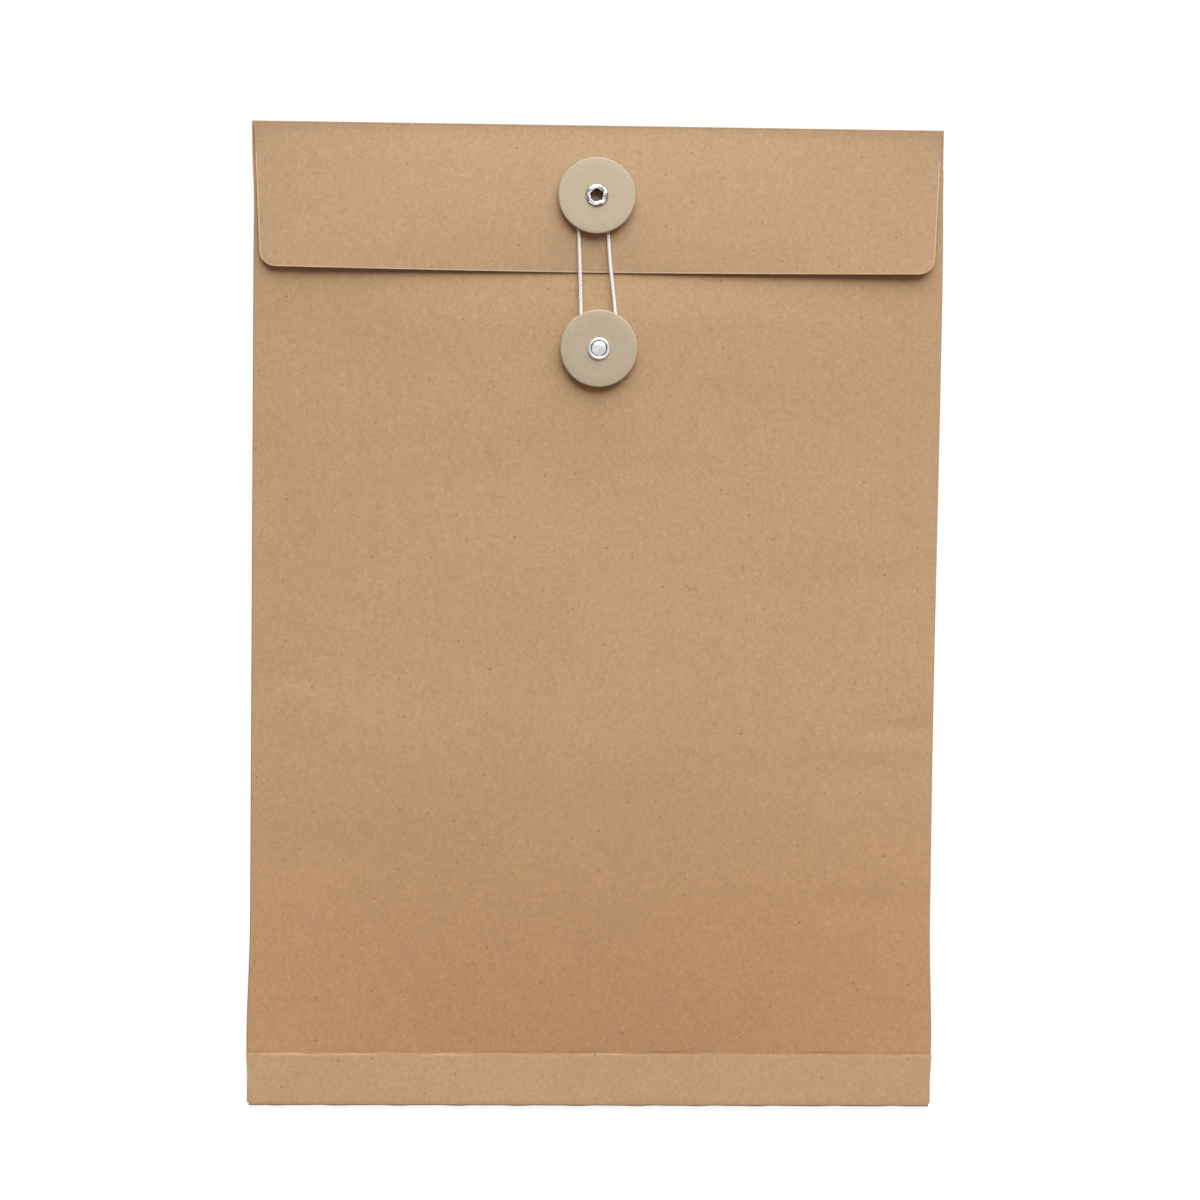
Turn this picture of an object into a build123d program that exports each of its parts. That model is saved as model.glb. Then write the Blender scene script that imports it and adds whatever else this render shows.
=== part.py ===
"""String tie envelope: a kraft pocket with a folding flap, two board discs and a tie string.

Millimetres. The envelope lies on its back: +Z up, +Y towards the flap's fold, +X to the right.
The origin is the middle of the face it lies on.
"""
import math
import os

from build123d import *

# Paper and glue
PAPER = 0.35
GLUE = 0.1
GLUE_PLAY = 0.01

# Pocket outline
POCKET_WIDTH = 229.0
POCKET_HEIGHT = 326.0
MOUTH_DROP = 13.0
SIDE_TAB_WIDTH = 27.5
SIDE_TAB_FOOT = 36.0
SIDE_HEM = 6.0
GLUE_MARGIN = 3.0
GLUE_STRIP = 4.0
BAND_HEIGHT = 18.0
BAND_END_TAPER = 0.7
BOTTOM_PLAY = 0.4

# Swell of the front panel along its middle, by the distance below the top fold
MOUTH_CROWN = 1.4
FULL_CROWN = 5.2
FLAT_CROWN = 0.02
RISE_DROP = 68.0
FALL_DROP = 190.0

# Flap
FLAP_DEPTH = 48.7
FLAP_SHOULDER = 4.0
FLAP_SHOULDER_INSET = 0.6
FLAP_CORNER_INSET = 2.6
FLAP_CORNER_RADIUS = 5.0
FLAP_EDGE_SAG = 1.0
FLAP_BOW = 1.5
FLAP_SIDE_DROP = 1.8
FLAP_LIFT = 0.5
FOLD_RADIUS = 0.5
FOLD_PLAY = 0.1
FOLD_LEVEL = 0.65

# Buttons: board discs on metal fasteners
UPPER_BUTTON_X = -0.9
UPPER_BUTTON_DROP = 24.0
LOWER_BUTTON_X = 0.2
LOWER_BUTTON_DROP = 73.7
DISC_RADIUS = 12.7
DISC_THICKNESS = 1.0
DISC_EDGE = 0.15
DISC_PLAY = 0.05
SHANK_RADIUS = 2.35
SHANK_PLAY = 0.05
EYELET_BORE = 2.05
RIM_RADIUS = 3.65
RIM_HEIGHT = 0.7
CLINCH_RADIUS = 3.4
CLINCH_HEIGHT = 0.35
RIVET_DIMPLE_RADIUS = 2.5
RIVET_TUBE_BORE = 1.4
RIVET_TUBE_DEPTH = 1.2
WASHER_RADIUS = 4.5
WASHER_THICKNESS = 0.4
WASHER_PLAY = 0.12

# String
STRING_DIAMETER = 1.2
STRING_SPACE = 1.6
STRING_EDGE_PLAY = 0.15
RUN_SHARE = 0.45

half_width = POCKET_WIDTH / 2 - PAPER
top_y = POCKET_HEIGHT / 2
bottom_y = -POCKET_HEIGHT / 2
front_level = 2 * PAPER + GLUE
band_edge_drop = POCKET_HEIGHT - BAND_HEIGHT
side_tab_end_y = bottom_y + SIDE_TAB_FOOT
band_level = front_level + PAPER + FLAT_CROWN + GLUE
bottom_fold_radius = (band_level + PAPER) / 2
sheet_end_y = bottom_y + bottom_fold_radius
front_end_y = sheet_end_y + BOTTOM_PLAY
fold_y = top_y - FOLD_RADIUS
back_end_y = fold_y - FOLD_RADIUS - FOLD_PLAY


def drop_to_y(drop):
    """Height on the page of a point this far below the top fold."""
    return top_y - drop


def block(x_low, x_high, y_low, y_high, z_low, z_high):
    """Box between two corners."""
    size = (x_high - x_low, y_high - y_low, z_high - z_low)
    middle = ((x_low + x_high) / 2, (y_low + y_high) / 2, (z_low + z_high) / 2)
    return Pos(*middle) * Box(*size)


def crowned_section(y, crown, low, high):
    """Cross-section of an arched sheet whose side edges lie between two levels."""
    lower = ThreePointArc((-half_width, y, low), (0, y, low + crown), (half_width, y, low))
    upper = ThreePointArc((-half_width, y, high), (0, y, high + crown), (half_width, y, high))
    left = Line((-half_width, y, low), (-half_width, y, high))
    right = Line((half_width, y, low), (half_width, y, high))
    return make_face([lower, right, upper, left])


def crown_at(drop):
    """Height of the swell: an easy rise from the mouth, a level stretch, then a steepening fall."""
    if drop < RISE_DROP:
        share = (drop - MOUTH_DROP) / (RISE_DROP - MOUTH_DROP)
        return MOUTH_CROWN + (FULL_CROWN - MOUTH_CROWN) * share ** 2 * (3 - 2 * share)
    if drop < FALL_DROP:
        return FULL_CROWN
    share = (drop - FALL_DROP) / (band_edge_drop - FALL_DROP)
    return FULL_CROWN + (FLAT_CROWN - FULL_CROWN) * share ** 2


def crowned_sheet(low, high, end_y):
    """Sheet that follows the pocket's swell from the mouth to the bottom band, then runs flat."""

    def stretch(start_drop, end_drop, sections=5):
        step = (end_drop - start_drop) / (sections - 1)
        drops = [start_drop + index * step for index in range(sections)]
        return loft([crowned_section(drop_to_y(drop), crown_at(drop), low, high) for drop in drops])

    flat_ends = [crowned_section(y, FLAT_CROWN, low, high) for y in (drop_to_y(band_edge_drop), end_y)]
    rise = stretch(MOUTH_DROP, RISE_DROP)
    level = stretch(RISE_DROP, FALL_DROP, sections=2)
    fall = stretch(FALL_DROP, band_edge_drop)
    return rise + level + fall + loft(flat_ends, ruled=True)


def flap_centre_line():
    """Middle of the flap's paper, seen from the side, from the fold to the lower edge."""
    edge_level = front_level + PAPER + crown_at(FLAP_DEPTH) + FLAP_LIFT + PAPER / 2
    start = Vector(0, fold_y, FOLD_LEVEL)
    end = Vector(0, drop_to_y(FLAP_DEPTH), edge_level)
    middle = (start + end) * 0.5 + Vector(0, 0, FLAP_BOW)
    return ThreePointArc(start, middle, end)


def button_frames():
    """Frames on the outer paper face under each disc, Z along the fastener."""
    line = flap_centre_line()
    along = (UPPER_BUTTON_DROP - FOLD_RADIUS) / (FLAP_DEPTH - FOLD_RADIUS)
    normal = Vector(1, 0, 0).cross(line % along) * -1
    seat = line @ along + normal * (PAPER / 2) + Vector(UPPER_BUTTON_X, 0, 0)
    upper = Plane(origin=seat, x_dir=(1, 0, 0), z_dir=normal)
    lower_level = front_level + PAPER + FULL_CROWN
    lower = Plane(origin=(LOWER_BUTTON_X, drop_to_y(LOWER_BUTTON_DROP), lower_level))
    return upper, lower


def shank_hole(frame):
    """Cutter for the hole that a fastener's shank passes through."""
    return frame.location * Cylinder(SHANK_RADIUS + SHANK_PLAY, 6 * PAPER)


def back_panel():
    sheet = Polygon(
        (-half_width, back_end_y),
        (half_width, back_end_y),
        (half_width, drop_to_y(band_edge_drop)),
        (half_width - BAND_END_TAPER, sheet_end_y),
        (-half_width + BAND_END_TAPER, sheet_end_y),
        (-half_width, drop_to_y(band_edge_drop)),
        align=None,
    )
    return extrude(sheet, PAPER, dir=(0, 0, 1))


def front_panel(lower_frame):
    sheet = crowned_sheet(front_level, front_level + PAPER, front_end_y)
    return sheet - shank_hole(lower_frame)


def side_zone():
    """Space over the right-hand side tab: a wide tab, then a hem below it."""
    tall = front_level + FULL_CROWN
    wide = block(half_width - SIDE_TAB_WIDTH, half_width, side_tab_end_y, drop_to_y(MOUTH_DROP), 0, tall)
    hem = block(half_width - SIDE_HEM, half_width, front_end_y, side_tab_end_y, 0, tall)
    return wide + hem


def right_side_tab():
    """Tab folded in from the back panel's edge and lying under the front panel."""
    sheet = crowned_sheet(PAPER, 2 * PAPER, front_end_y) & side_zone()
    length = drop_to_y(MOUTH_DROP) - front_end_y
    fold = Pos(half_width, front_end_y + length / 2, PAPER) * Rot(90, 0, 0) * Cylinder(PAPER, length)
    outer = block(half_width, half_width + PAPER, front_end_y, drop_to_y(MOUTH_DROP), 0, 2 * PAPER)
    return sheet + (fold & outer)


def arch_level(x, crown):
    """Height above its sides of an arch with this crown."""
    radius = (half_width ** 2 + crown ** 2) / (2 * crown)
    return crown - radius + math.sqrt(radius ** 2 - x ** 2)


def right_side_glue(sections=9):
    """Strip of paste between the side tab and the front panel, along the side fold."""
    inner, outer = half_width - GLUE_MARGIN / 2 - GLUE_STRIP, half_width - GLUE_MARGIN / 2
    low, high = 2 * PAPER + GLUE_PLAY, front_level - GLUE_PLAY

    def stretch(start_drop, end_drop):
        step = (end_drop - start_drop) / (sections - 1)
        return [(drop_to_y(start_drop + index * step), crown_at(start_drop + index * step))
                for index in range(sections)]

    spots = stretch(MOUTH_DROP + GLUE_MARGIN / 2, RISE_DROP) + stretch(FALL_DROP, band_edge_drop)
    spots.append((front_end_y + GLUE_MARGIN / 2, FLAT_CROWN))
    slices = []
    for y, crown in spots:
        at_inner, at_outer = arch_level(inner, crown), arch_level(outer, crown)
        corners = [(inner, y, low + at_inner), (outer, y, low + at_outer), (outer, y, high + at_outer),
                   (inner, y, high + at_inner)]
        slices.append(make_face(Polyline(*corners, close=True)))
    return loft(slices, ruled=True)


def bottom_seal_flap():
    """Tail of the back panel, folded up over the front panel's foot."""
    r_out = bottom_fold_radius
    r_in = bottom_fold_radius - PAPER
    band_y = drop_to_y(band_edge_drop)
    profile = make_face([
        Line((0, sheet_end_y, 0), (0, sheet_end_y, PAPER)),
        ThreePointArc((0, sheet_end_y, PAPER), (0, sheet_end_y - r_in, r_out), (0, sheet_end_y, band_level)),
        Line((0, sheet_end_y, band_level), (0, band_y, band_level)),
        Line((0, band_y, band_level), (0, band_y, band_level + PAPER)),
        Line((0, band_y, band_level + PAPER), (0, sheet_end_y, band_level + PAPER)),
        ThreePointArc((0, sheet_end_y, band_level + PAPER), (0, bottom_y, r_out), (0, sheet_end_y, 0)),
    ])
    strip = extrude(profile, half_width, dir=(1, 0, 0), both=True)
    trim = Polygon(
        (-half_width, band_y),
        (half_width, band_y),
        (half_width - BAND_END_TAPER, sheet_end_y),
        (half_width - BAND_END_TAPER, bottom_y),
        (-half_width + BAND_END_TAPER, bottom_y),
        (-half_width + BAND_END_TAPER, sheet_end_y),
        align=None,
    )
    return strip & extrude(trim, 2 * r_out, dir=(0, 0, 1))


def bottom_glue():
    low = band_level - GLUE
    inset = half_width - GLUE_MARGIN
    return block(-inset, inset, front_end_y + GLUE_MARGIN, drop_to_y(band_edge_drop) - GLUE_MARGIN / 2,
                 low, band_level - GLUE_PLAY)


def flap_outline():
    """Flap seen from above: shoulders below the fold, tapered sides, a gently bowed lower edge."""
    neck = half_width - FLAP_SHOULDER_INSET
    corner = half_width - FLAP_CORNER_INSET
    edge_y = drop_to_y(FLAP_DEPTH)
    shoulder_y = drop_to_y(FLAP_SHOULDER)
    outline = make_face([
        Line((-half_width, fold_y), (half_width, fold_y)),
        Line((half_width, fold_y), (neck, shoulder_y)),
        Line((neck, shoulder_y), (corner, edge_y + FLAP_EDGE_SAG)),
        ThreePointArc((corner, edge_y + FLAP_EDGE_SAG), (0, edge_y), (-corner, edge_y + FLAP_EDGE_SAG)),
        Line((-corner, edge_y + FLAP_EDGE_SAG), (-neck, shoulder_y)),
        Line((-neck, shoulder_y), (-half_width, fold_y)),
    ])
    corners = outline.vertices().sort_by(Axis.Y)[:2]
    return fillet(corners, FLAP_CORNER_RADIUS)


def arched_flap(sections=6):
    """Flap's paper before it is cut out: straight at the fold, arched over the swell at its edge."""
    line = flap_centre_line()
    slices = []
    for index in range(sections):
        share = index / (sections - 1)
        crown = FLAT_CROWN + (FLAP_SIDE_DROP - FLAT_CROWN) * share
        spot = line @ share
        slices.append(crowned_section(spot.Y, crown, spot.Z - crown - PAPER / 2, spot.Z - crown + PAPER / 2))
    return loft(slices)


def closure_flap(upper_frame):
    height = flap_centre_line().bounding_box().max.Z + PAPER
    paper = arched_flap() & extrude(flap_outline(), height, dir=(0, 0, 1))
    bead = Pos(0, fold_y, FOLD_LEVEL) * Rot(0, 90, 0) * Cylinder(FOLD_RADIUS, 2 * half_width)
    return paper + bead - shank_hole(upper_frame)


def disc(frame):
    board = Cylinder(DISC_RADIUS, DISC_THICKNESS) - Cylinder(SHANK_RADIUS + SHANK_PLAY, DISC_THICKNESS)
    rims = board.edges().filter_by(GeomType.CIRCLE).sort_by(SortBy.RADIUS)[-2:]
    board = chamfer(rims, DISC_EDGE)
    return frame.location * Pos(0, 0, STRING_SPACE + DISC_THICKNESS / 2) * board


def fastener_levels():
    """Underside of the rim, and lower face of the backing washer."""
    rim = STRING_SPACE + DISC_THICKNESS + DISC_PLAY
    washer = -PAPER - WASHER_PLAY - WASHER_THICKNESS
    return rim, washer


def eyelet(frame):
    """Hollow eyelet: rolled rim over the disc, tube through the paper, clinched behind the washer."""
    rim, washer = fastener_levels()
    foot = washer - CLINCH_HEIGHT
    lip = rim + RIM_HEIGHT / 2
    crest = (EYELET_BORE + RIM_RADIUS) / 2
    section = make_face([
        Line((EYELET_BORE, 0, foot), (EYELET_BORE, 0, lip)),
        ThreePointArc((EYELET_BORE, 0, lip), (crest, 0, rim + RIM_HEIGHT), (RIM_RADIUS, 0, rim)),
        Line((RIM_RADIUS, 0, rim), (SHANK_RADIUS, 0, rim)),
        Line((SHANK_RADIUS, 0, rim), (SHANK_RADIUS, 0, washer)),
        Line((SHANK_RADIUS, 0, washer), (CLINCH_RADIUS, 0, washer)),
        Line((CLINCH_RADIUS, 0, washer), (SHANK_RADIUS + CLINCH_HEIGHT, 0, foot)),
        Line((SHANK_RADIUS + CLINCH_HEIGHT, 0, foot), (EYELET_BORE, 0, foot)),
    ])
    return frame.location * revolve(section, Axis.Z)


def rivet(frame):
    """Closed rivet: rim, a ring groove and a low dome over the shank, with a clinched tube end."""
    rim, washer = fastener_levels()
    foot = washer - CLINCH_HEIGHT
    groove = rim + RIM_HEIGHT / 3
    crest = (RIVET_DIMPLE_RADIUS + RIM_RADIUS) / 2
    tube_top = foot + RIVET_TUBE_DEPTH
    section = make_face([
        Line((0, 0, tube_top), (0, 0, rim + RIM_HEIGHT)),
        ThreePointArc((0, 0, rim + RIM_HEIGHT), (RIVET_DIMPLE_RADIUS / 2, 0, rim + 0.85 * RIM_HEIGHT),
                      (RIVET_DIMPLE_RADIUS, 0, groove)),
        ThreePointArc((RIVET_DIMPLE_RADIUS, 0, groove), (crest, 0, rim + RIM_HEIGHT), (RIM_RADIUS, 0, rim)),
        Line((RIM_RADIUS, 0, rim), (SHANK_RADIUS, 0, rim)),
        Line((SHANK_RADIUS, 0, rim), (SHANK_RADIUS, 0, washer)),
        Line((SHANK_RADIUS, 0, washer), (CLINCH_RADIUS, 0, washer)),
        Line((CLINCH_RADIUS, 0, washer), (SHANK_RADIUS + CLINCH_HEIGHT, 0, foot)),
        Line((SHANK_RADIUS + CLINCH_HEIGHT, 0, foot), (RIVET_TUBE_BORE, 0, foot)),
        Line((RIVET_TUBE_BORE, 0, foot), (RIVET_TUBE_BORE, 0, tube_top)),
        Line((RIVET_TUBE_BORE, 0, tube_top), (0, 0, tube_top)),
    ])
    return frame.location * revolve(section, Axis.Z)


def backing_washer(frame):
    ring = Cylinder(WASHER_RADIUS, WASHER_THICKNESS) - Cylinder(SHANK_RADIUS + SHANK_PLAY, WASHER_THICKNESS)
    return frame.location * Pos(0, 0, -PAPER - WASHER_PLAY - WASHER_THICKNESS / 2) * ring


def string_route(upper, lower):
    """Points of the string from its tied end at the upper shank to its tucked end."""
    level = STRING_SPACE / 2

    def on(frame, points):
        return [frame.from_local_coords(Vector(x, y, level)) for x, y in points]

    flap_middle = flap_centre_line() @ 0.75
    flap_end = flap_centre_line() @ 1
    clear = PAPER / 2 + STRING_EDGE_PLAY + STRING_DIAMETER / 2
    over = flap_end.Z + clear
    edge_y = flap_end.Y
    tied_end = on(upper, [(0, -3.05), (-1.26, -3.05), (-3.05, -1.26), (-3.05, 1.26), (-1.26, 3.05),
                          (1.26, 3.05), (3.05, 1.26)])
    down = [Vector(3.02, flap_middle.Y, flap_middle.Z + clear), Vector(3.6, edge_y + 3, over),
            Vector(4.4, edge_y - 3, over)]
    lower_turn = on(lower, [(6.3, 2.6), (6.2, -2.5), (2.5, -6.1), (-2.5, -6.0), (-5.8, -2.4), (-5.7, 2.6)])
    up = [Vector(-6.1, edge_y - 3, over), Vector(-6.3, edge_y + 3, over),
          Vector(-6.68, flap_middle.Y, flap_middle.Z + clear)]
    tucked_end = on(upper, [(-6.2, -2.6), (-6.1, 2.5), (-2.5, 6.1), (2.5, 6.0), (5.8, 2.4), (5.9, -0.6)])
    return tied_end + down + lower_turn + up + tucked_end


def corner_radii(points):
    """Radius of the bend at each inner point, as large as its two runs allow."""
    radii = []
    for before, here, after in zip(points, points[1:], points[2:]):
        run_in = here - before
        run_out = after - here
        turn = math.radians(run_in.get_angle(run_out))
        radii.append(RUN_SHARE * min(run_in.length, run_out.length) / math.tan(turn / 2))
    return radii


def least_self_gap(path, step=0.5, skip=4.0):
    """Least clear distance between stretches of the string that aren't next to each other."""
    count = int(path.length / step)
    points = [path @ (index / count) for index in range(count + 1)]
    away = int(skip / step)
    gaps = [
        (points[a] - points[b]).length
        for a in range(count + 1)
        for b in range(a + away, count + 1)
    ]
    return min(gaps) - STRING_DIAMETER


def string_nodes(upper, lower):
    """One tube along the route, cut where the strands leave the discs."""
    points = string_route(upper, lower)
    radii = corner_radii(points)
    path = FilletPolyline(*points, radius=radii)
    start = Plane(origin=path @ 0, z_dir=path % 0)
    section = start * RegularPolygon(STRING_DIAMETER / 2, side_count=8)
    tube = sweep(section, path=path)
    print("string bend radii", [round(radius, 2) for radius in radii])
    print("string length", round(path.length, 1))
    print("string volume", round(tube.volume, 2), "section times length", round(section.area * path.length, 2))
    print("string least gap to itself", round(least_self_gap(path), 2))
    low_cut = lower.origin.Y + 3 * DISC_RADIUS / 4
    high_cut = upper.origin.Y - 3 * DISC_RADIUS / 4
    reach = DISC_RADIUS
    middle = (upper.origin.X + lower.origin.X) / 2
    top = 3 * DISC_RADIUS
    lower_zone = block(-reach, reach, lower.origin.Y - reach, low_cut, 0, top)
    left_zone = block(-reach, middle, low_cut, high_cut, 0, top)
    right_zone = block(middle, reach, low_cut, high_cut, 0, top)
    upper_zone = block(-2 * reach, 2 * reach, high_cut, upper.origin.Y + reach, 0, top)
    ends = (tube & upper_zone).solids().sort_by(SortBy.VOLUME)
    return {
        "string_lower_turn": tube & lower_zone,
        "string_left_strand": tube & left_zone,
        "string_right_strand": tube & right_zone,
        "string_tucked_end": ends[-1],
        "string_tied_end": ends[0],
    }


def main():
    upper, lower = button_frames()
    tab = right_side_tab()
    glue = right_side_glue()
    nodes = {
        "back_panel": back_panel(),
        "front_panel": front_panel(lower),
        "right_side_tab": tab,
        "left_side_tab": mirror(tab, Plane.YZ),
        "right_side_glue": glue,
        "left_side_glue": mirror(glue, Plane.YZ),
        "bottom_seal_flap": bottom_seal_flap(),
        "bottom_glue": bottom_glue(),
        "closure_flap": closure_flap(upper),
        "upper_disc": disc(upper),
        "lower_disc": disc(lower),
        "upper_eyelet": eyelet(upper),
        "lower_rivet": rivet(lower),
        "upper_backing_washer": backing_washer(upper),
        "lower_backing_washer": backing_washer(lower),
    }
    nodes.update(string_nodes(upper, lower))
    os.makedirs("parts", exist_ok=True)
    for name, shape in nodes.items():
        export_step(shape, f"parts/{name}.step")


main()
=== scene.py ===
"""String tie envelope: paper, buttons and string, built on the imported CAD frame.

Metres, in the frame's own axes: the envelope lies on its back, Z up, the flap's fold towards +Y.
Tables and constants say where they are in millimetres.
"""
import math

import bmesh
import bpy
import numpy as np
from mathutils import Matrix, Vector


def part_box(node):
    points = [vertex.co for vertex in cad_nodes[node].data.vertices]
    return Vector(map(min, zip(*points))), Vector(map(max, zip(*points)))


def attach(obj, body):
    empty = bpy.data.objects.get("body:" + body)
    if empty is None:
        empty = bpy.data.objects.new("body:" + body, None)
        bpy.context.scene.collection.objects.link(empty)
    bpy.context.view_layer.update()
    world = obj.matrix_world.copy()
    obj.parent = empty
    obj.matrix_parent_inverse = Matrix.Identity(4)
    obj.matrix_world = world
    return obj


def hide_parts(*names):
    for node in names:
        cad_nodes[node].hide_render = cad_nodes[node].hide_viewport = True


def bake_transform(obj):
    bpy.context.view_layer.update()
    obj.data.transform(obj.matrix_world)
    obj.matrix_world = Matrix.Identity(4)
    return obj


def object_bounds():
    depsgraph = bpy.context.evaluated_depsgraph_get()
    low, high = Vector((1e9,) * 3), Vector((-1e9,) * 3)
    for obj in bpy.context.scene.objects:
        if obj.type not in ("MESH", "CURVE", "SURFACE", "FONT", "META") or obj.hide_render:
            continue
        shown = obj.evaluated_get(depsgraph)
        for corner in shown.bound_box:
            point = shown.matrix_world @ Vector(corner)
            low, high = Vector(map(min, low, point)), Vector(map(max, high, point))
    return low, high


bl_info = {
    "name": "String Tie Envelope",
    "version": (1, 0, 0),
    "blender": (4, 5, 0),
    "location": "View3D > Sidebar > Envelope",
    "description": "Dresses the CAD frame of a string tie envelope with paper, buttons and string",
    "category": "Object",
}

MM = 0.001

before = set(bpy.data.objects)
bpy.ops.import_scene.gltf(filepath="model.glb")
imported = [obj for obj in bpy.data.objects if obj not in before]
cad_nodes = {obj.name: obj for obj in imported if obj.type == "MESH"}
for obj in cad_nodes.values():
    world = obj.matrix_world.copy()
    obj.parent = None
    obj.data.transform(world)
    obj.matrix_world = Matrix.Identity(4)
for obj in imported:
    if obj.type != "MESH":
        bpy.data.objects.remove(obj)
cad_low, cad_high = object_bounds()
back_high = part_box("back_panel")[1]
disc_low, disc_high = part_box("lower_disc")

# Frames of the two buttons: the paper face under each disc, Z along its fastener
UPPER_SEAT = Vector((-0.9, 139.184, 4.8888)) * MM
UPPER_AXIS = Vector((0, 0.112332, 0.993671))
LOWER_SEAT = Vector((0.2, 89.3, 6.35)) * MM
LOWER_AXIS = Vector((0, 0, 1))

# The string's route in millimetres, as in the part's source: tied end, down, lower turn, up, tucked end.
# The turns are in the frame of their button, at one level above the paper.
STRING_LEVEL = 0.8
TIED_END = [(0, -3.05), (-1.26, -3.05), (-3.05, -1.26), (-3.05, 1.26), (-1.26, 3.05), (1.26, 3.05),
            (3.05, 1.26)]
STRAND_DOWN = [(3.02, 126.45, 6.66), (3.6, 117.3, 6.87), (4.4, 111.3, 6.87)]
LOWER_TURN = [(6.3, 2.6), (6.2, -2.5), (2.5, -6.1), (-2.5, -6.0), (-5.8, -2.4), (-5.7, 2.6)]
STRAND_UP = [(-6.1, 111.3, 6.87), (-6.3, 117.3, 6.87), (-6.68, 126.45, 6.66)]
TUCKED_END = [(-6.2, -2.6), (-6.1, 2.5), (-2.5, 6.1), (2.5, 6.0), (5.8, 2.4), (5.9, -0.6)]

# Soft dents in the front sheet: centre x and y, reach in x and y, depth, in millimetres
FRONT_DENTS = [
    (96, 14, 26, 5.0, 0.16),
    (104, -36, 22, 4.0, 0.20),
    (92, -50, 30, 6.5, 0.16),
    (100, -95, 24, 5.0, 0.18),
    (-98, -20, 24, 6.0, 0.12),
    (-90, -78, 30, 7.0, 0.12),
    (-30, 40, 55, 16.0, 0.10),
    (38, -70, 60, 18.0, 0.12),
    (60, 66, 30, 9.0, 0.10),
]

# Soft edges as place and softness, in millimetres on the page: the side tabs' cut ends, the step over them
# in the front sheet, and the valley that the bottom band presses into it
TAB_CUT = (-128, 2)
STEP_INNER, STEP_OUTER, STEP_TOP, STEP_FOOT = (85.5, 2.5), (108, 2), (-125.6, 2.8), (-146, 8)
VALLEY_TOP = (-144.1, 0.9)
STEP_DEPTH = 0.08
VALLEY_LEAST, VALLEY_ADDED = 0.02, 0.11

# Where the swell starts to draw the sides in and has stopped, as drops from the fold and softness
DRAW_LEFT, DRAW_RIGHT, DRAW_END = (4, 28), (40, 180), (305, 42)

# Extra rows of points where a sheet is pressed, in metres on the page
ROWS_BY_BAND = np.linspace(-0.1425, -0.1465, 15)
ROWS_BY_STEP = np.linspace(-0.1250, -0.1290, 9)
ROWS_BY_TAB_CUT = np.linspace(-0.1255, -0.1285, 7)

# The bottom band in millimetres: rows of points down from its edge, and how far it lies below its solid
BAND_STEPS = [0, 0.2, 0.4, 0.65, 0.95, 1.3, 1.8, 2.6, 3.8, 5.5, 7.5, 9.5, 11.5, 13.5, 15.5]
BAND_SHY = 0.04
# Its edge: how far it is pressed down and set back, with waves as height, span and start
BAND_PRESS_LEAST, BAND_PRESS_ADDED, BAND_PRESS_REACH = 0.02, 0.15, 0.45
BAND_EDGE_SET_BACK, BAND_EDGE_REACH = 0.25, 2.5
BAND_EDGE_WAVES = [(0.13, 2.8, 0.0), (0.10, 1.57, 1.3), (0.11, 6, 0.6)]
# Share of the paper's thickness left at its edge, and the way to the full thickness
THIN_EDGE, THIN_REACH = 0.28, 1.6
# Its fold: how far it is worn back, with waves, and with a nick as depth, place and reach
BAND_FOLD_SET_BACK = 0.17
BAND_FOLD_WAVES = [(0.08, 3.1, 0.0), (0.05, 1.6, 1.0)]
BAND_NICK = (0.16, -110.5, 1.9)

# The flap in millimetres: level of its fold's middle, its sides' step in below the fold, and their lean
FLAP_FOLD_LEVEL = 0.65
FLAP_STEP_IN, FLAP_STEP_DROP = 0.9, 4
FLAP_LEAN = 2.2
# Upward curve of its lower edge at the corners, and half widths that its lie and edge are measured on
FLAP_UPSWEEP = 1.0
FLAP_SPAN, FLAP_EDGE_SPAN = 114, 110
# Share of its bow lost at the sides, and how quickly the fold's roundness fades into it
FLAP_BOW_LOST, FLAP_ROLL_FADE = 0.8, 32
# Shares of its droop: towards the sides, at the very corners, and then on the left and on the right
FLAP_FALL, FLAP_CORNER_FALL = 0.78, 0.5
FLAP_FALL_LEFT, FLAP_FALL_RIGHT = 1.06, 0.88
# Dent under the string as depth, middle and reach, and a wave along the edge as height, span and start
FLAP_STRING_DENT = (0.5, -1, 26)
FLAP_WAVE = (0.10, 17, 0.7)

# Rows and columns of faces along the flap's cut edges that take the cut edges' finish as a painted
# highlight, below a first row
HIGHLIGHT_ROWS, HIGHLIGHT_COLUMNS, HIGHLIGHT_FROM = 5, 4, 16

# Flecks in the kraft: cell and size in metres, share of the cells, lightness, seed
KRAFT_FLECKS = [
    (0.0095, 0.00052, 0.24, -0.33, 1.3),
    (0.0042, 0.00030, 0.36, -0.17, 2.9),
    (0.0021, 0.00022, 0.30, -0.12, 4.1),
    (0.0110, 0.00036, 0.26, 0.30, 5.7),
    (0.0046, 0.00024, 0.22, 0.16, 7.3),
]

# The floor's own grey carries the shadow, and its glow, for the rays that show the stage, makes it white
FLOOR_GREY, FLOOR_GLOW = 0.20, 0.86
FLOOR_HALF = 3.0

# Edges sharper than this stay crisp
CRISP_ANGLE = math.radians(35)


def length(name, text, default):
    return bpy.props.FloatProperty(name=name, description=text, default=default, unit="LENGTH", precision=5)


def degrees(name, text, default):
    return bpy.props.FloatProperty(name=name, description=text, default=math.radians(default),
                                   subtype="ANGLE")


def power(name, text, default):
    return bpy.props.FloatProperty(name=name, description=text, default=default, min=0)


def tone(name, text, default):
    return bpy.props.FloatVectorProperty(name=name, description=text, default=default, size=3,
                                         subtype="COLOR", min=0, max=1)


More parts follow.
